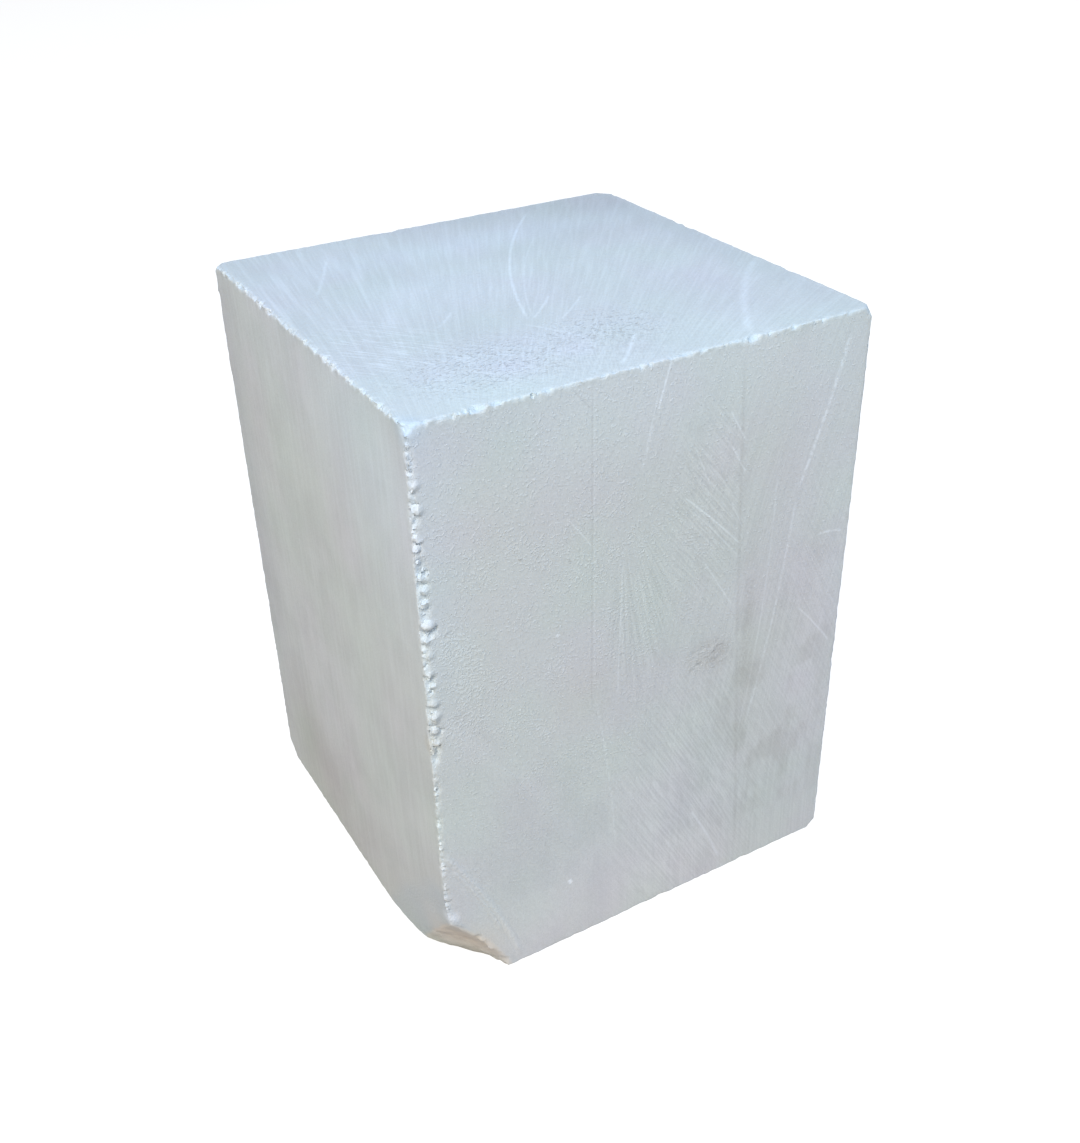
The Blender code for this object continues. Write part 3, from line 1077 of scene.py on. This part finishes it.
# %% Front face: specks, pits and two ridges
PIT_PLACE = (10.9, 48.8)
uneven = ramp(noise_at(place, 0.17), 0.4, 0.64)
crowded = total(
    product(patch((-33, 61.5), (6, 12)), 0.08),
    product(patch(PIT_PLACE, (6.5, 4.5)), 0.14),
    product(patch((-16, 60), (38, 52)), uneven, 0.1),
)
# Specks are small bumps in the relief, and are also painted white as their highlight
speck_bumps_and_highlights = ramp(total(noise_at(place, 2.7, 1, 0.6), crowded), 0.58, 0.76)
# Pits are dents in the relief, and are also painted dark as the shade inside them
pit_dents_and_shade = product(ramp(noise_at(place, 0.45), 0.4, 0.56), patch(PIT_PLACE, (6, 4.5)))
front_pale = total(front_pale, product(speck_bumps_and_highlights, 0.3))
front_dark = total(front_dark, product(pit_dents_and_shade, 0.45))
RIDGES = (
    ((-37.6, 30.5), (-24.6, 1), 1.1, 0.9, 0.2, 1),
    ((-36.2, 26.5), (-28.2, 8.5), 0.7, 0.6, 0.3, 0.7),
)
ridges = scratches(RIDGES)
relief = total(product(speck_bumps_and_highlights, 0.038), product(pit_dents_and_shade, -0.08), product(ridges, 0.15))
front_pale = total(front_pale, product(ridges, 0.25))
finish_material(front_pale, front_dark, front_shade, relief, 0.045)

# %% Top face: fan of streaks, arcs and linen
TOP_PALE = (
    ((19.5, 33.5), (-7.6, -14.5), -3.2, 0.45, 0.25, 0.9),
    ((13, 20), (-6.5, -13.5), -1.6, 0.3, 0.5, 0.5),
    ((0.4, -6.3), (-6.6, -13.6), 0.2, 0.4, 0.3, 0.8),
    ((4.5, -9), (-3.2, -16), 0.1, 0.35, 0.3, 0.6),
    ((2.8, -26.2), (-5.2, -34.8), 0.2, 0.5, 0.2, 0.9),
    ((36.5, -10), (16, -35.5), -1.4, 1.1, 0.3, 0.6),
    ((-21.8, 28), (-29.6, 12.5), 0.2, 0.5, 0.4, 0.6),
    ((-15, -4.5), (-20, -9.5), 0.1, 0.5, 0.4, 0.6),
    ((-9, -14.5), (-4, -23.5), 0.2, 0.6, 0.5, 0.5),
)
FAN_CENTRE = (-45, -75)
place, dots, fresh = start_material("alabaster top")
sheet = sheet_of(0, 1)
top_pale = scratches(TOP_PALE)
fan_streaks = streaked(FAN_CENTRE, 22, 0.75, 11)
fine_streaks = streaked(FAN_CENTRE, 9, 0.28, 12)
cross = product(
    ramp(hatched(-50, 5, 0.35, 13), 0.5, 0.66),
    total(patch((-30, -11), (13, 16)), product(patch((-20, -24), (20, 15)), 0.6)),
)
linen = product(
    total(swing(hatched(62, 2.2, 0.28, 14)), swing(hatched(-28, 2.2, 0.28, 15))),
    patch((-8, -27), (30, 15)),
)
worn = product(total(patch((-20, -25), (19, 12)), patch((1, -22), (12, 10))), 0.75)
top_dark = total(
    product(ramp(hatched(17, 0.9, 0.34, 25), 0.54, 0.72), total(worn, 0.2)),
    product(ramp(noise_at(place, 1.5), 0.58, 0.7), total(worn, 0.1)),
)
fan_share = total(product(patch((-32, 16), (26, 40)), 0.2), 0.08)
top_lines = total(
    product(ramp(fan_streaks, 0.46, 0.7), fan_share),
    product(ramp(fine_streaks, 0.48, 0.72), 0.14),
    product(cross, 0.6),
)
top_shade = total(
    product(swing(fan_streaks), 0.012),
    product(swing(fine_streaks), 0.015),
    product(linen, 0.05),
)
top_pale = total(product(top_pale, 0.8), top_lines)
finish_material(top_pale, top_dark, top_shade, product(top_dark, -0.06), 0.06)

# %% Sides, back and base: faint upright streaks
place, dots, fresh = start_material("alabaster sides")
sheet = join(along(place, (1, 1, 0)), along(place, (0, 0, 1)))
side_lines = hatched(88, 16, 1.1, 17)
blotches = noise_at(place, 0.11, 2, 0.6)
side_shade = total(product(swing(side_lines), 0.009), product(swing(blotches), 0.03))
side_pale = product(ramp(side_lines, 0.42, 0.7), 0.1)
finish_material(side_pale, 0, side_shade, 0, 0.03)

# %% Give each face its material
MATERIALS = {"front": 0, "top": 1}
by_code = np.array([MATERIALS.get(face, 2) for face in AXES])
mesh.polygons.foreach_set("material_index", by_code[codes].astype(np.int32))
mesh.update()
print("faces of each material:", np.bincount(by_code[codes]))

# %% [markdown]
# The piece and its picture
#
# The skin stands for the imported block. The camera stands where the photo's did, found from the
# block's outline. Floor and room could be plain white, but would then flood the stone with light,
# so the camera sees one shader there and the light another.

# %% Put the piece in the frame
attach(block, "root")
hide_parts(NODE)

# %% Camera
AZIMUTH, ELEVATION, ROLL = -29.152, 31.885, math.radians(-1.622)
BLOCK_HEIGHT = 101.6 * MM
DISTANCE = 2.23883 * BLOCK_HEIGHT
SHIFT_RIGHT, SHIFT_UP = 0.008476 * BLOCK_HEIGHT, -0.0138977 * BLOCK_HEIGHT
LENS = 40.884


def from_block(azimuth, elevation):
    """The direction from the block at an azimuth round it from the front, and an elevation."""
    azimuth, elevation = math.radians(azimuth), math.radians(elevation)
    level = math.cos(elevation)
    return Vector((math.sin(azimuth) * level, -math.cos(azimuth) * level, math.sin(elevation)))


towards = from_block(AZIMUTH, ELEVATION)
level_right = (-towards).cross(Vector((0, 0, 1))).normalized()
level_up = level_right.cross(-towards)
right = level_right * math.cos(ROLL) + level_up * math.sin(ROLL)
up = level_up * math.cos(ROLL) - level_right * math.sin(ROLL)
place = Vector((0, 0, BLOCK_HEIGHT / 2)) + towards * DISTANCE
place += level_right * SHIFT_RIGHT + level_up * SHIFT_UP
camera_data = bpy.data.cameras.new("camera")
camera_data.lens = LENS
camera_data.sensor_width = 36
camera_data.clip_start = 0.01
camera_data.clip_end = 50
camera = bpy.data.objects.new("camera", camera_data)
camera.matrix_world = Matrix((right, up, towards)).transposed().to_4x4()
camera.matrix_world.translation = place
bpy.context.collection.objects.link(camera)
bpy.context.scene.camera = camera

# %% Pale floor
FLOOR_HALF = 6.0
floor_mesh = bpy.data.meshes.new("floor")
around = ((-1, -1), (1, -1), (1, 1), (-1, 1))
floor_corners = [(x * FLOOR_HALF, y * FLOOR_HALF, 0.0) for x, y in around]
floor_mesh.from_pydata(floor_corners, [], [(0, 1, 2, 3)])
floor = bpy.data.objects.new("floor", floor_mesh)
bpy.context.collection.objects.link(floor)

SEEN_FLOOR, SEEN_GLOW = (0.35, 0.35, 0.35, 1), 0.82
LIGHTING_FLOOR = (0.34, 0.32, 0.29, 1)
WHITE = (1.0, 1.0, 1.0, 1)


def shader(kind, *values):
    return add_node(kind, *values).outputs[0]


def show(lighting, seen, output):
    """Gives the camera one shader and every other ray another."""
    is_seen = add_node("LightPath").outputs["Is Camera Ray"]
    add_node(output, shader("MixShader", is_seen, lighting, seen))


floor_material = bpy.data.materials.new("pale floor")
floor_material.use_nodes = True
tree = floor_material.node_tree
tree.nodes.clear()
seen = shader("AddShader", shader("BsdfDiffuse", SEEN_FLOOR), shader("Emission", WHITE, SEEN_GLOW))
show(shader("BsdfDiffuse", LIGHTING_FLOOR), seen, "OutputMaterial")
floor_mesh.materials.append(floor_material)

# %% Soft light
# Size, power in watts, colour, azimuth, elevation and distance
LAMPS = {
    "window": (0.45, 6.9, (1.00, 0.95, 0.83), -42, 44, 0.9),
    "sky above": (0.9, 3.7, (0.03, 0.40, 1.00), -20, 80, 0.9),
    "front": (0.9, 1.8, (0.35, 0.65, 1.00), 25, 28, 1.1),
    "room behind": (0.9, 1.8, (1.00, 0.96, 0.90), 130, 5, 1.0),
}
for name, (size, power, colour, azimuth, elevation, distance) in LAMPS.items():
    data = bpy.data.lights.new(name, "AREA")
    data.size = size
    data.energy = power
    data.color = colour
    place = from_block(azimuth, elevation) * distance
    lamp = bpy.data.objects.new(name, data)
    lamp.location = place + Vector((0, 0, reach[2] * MM))
    lamp.rotation_euler = place.to_track_quat("Z", "Y").to_euler()
    bpy.context.collection.objects.link(lamp)

ROOM_LIGHT, ROOM_SEEN = 0.35, 1.0
world = bpy.data.worlds.new("studio")
world.use_nodes = True
tree = world.node_tree
tree.nodes.clear()
room, seen = (shader("Background", WHITE, strength) for strength in (ROOM_LIGHT, ROOM_SEEN))
show(room, seen, "OutputWorld")
bpy.context.scene.world = world
bpy.context.scene.view_settings.view_transform = "Standard"
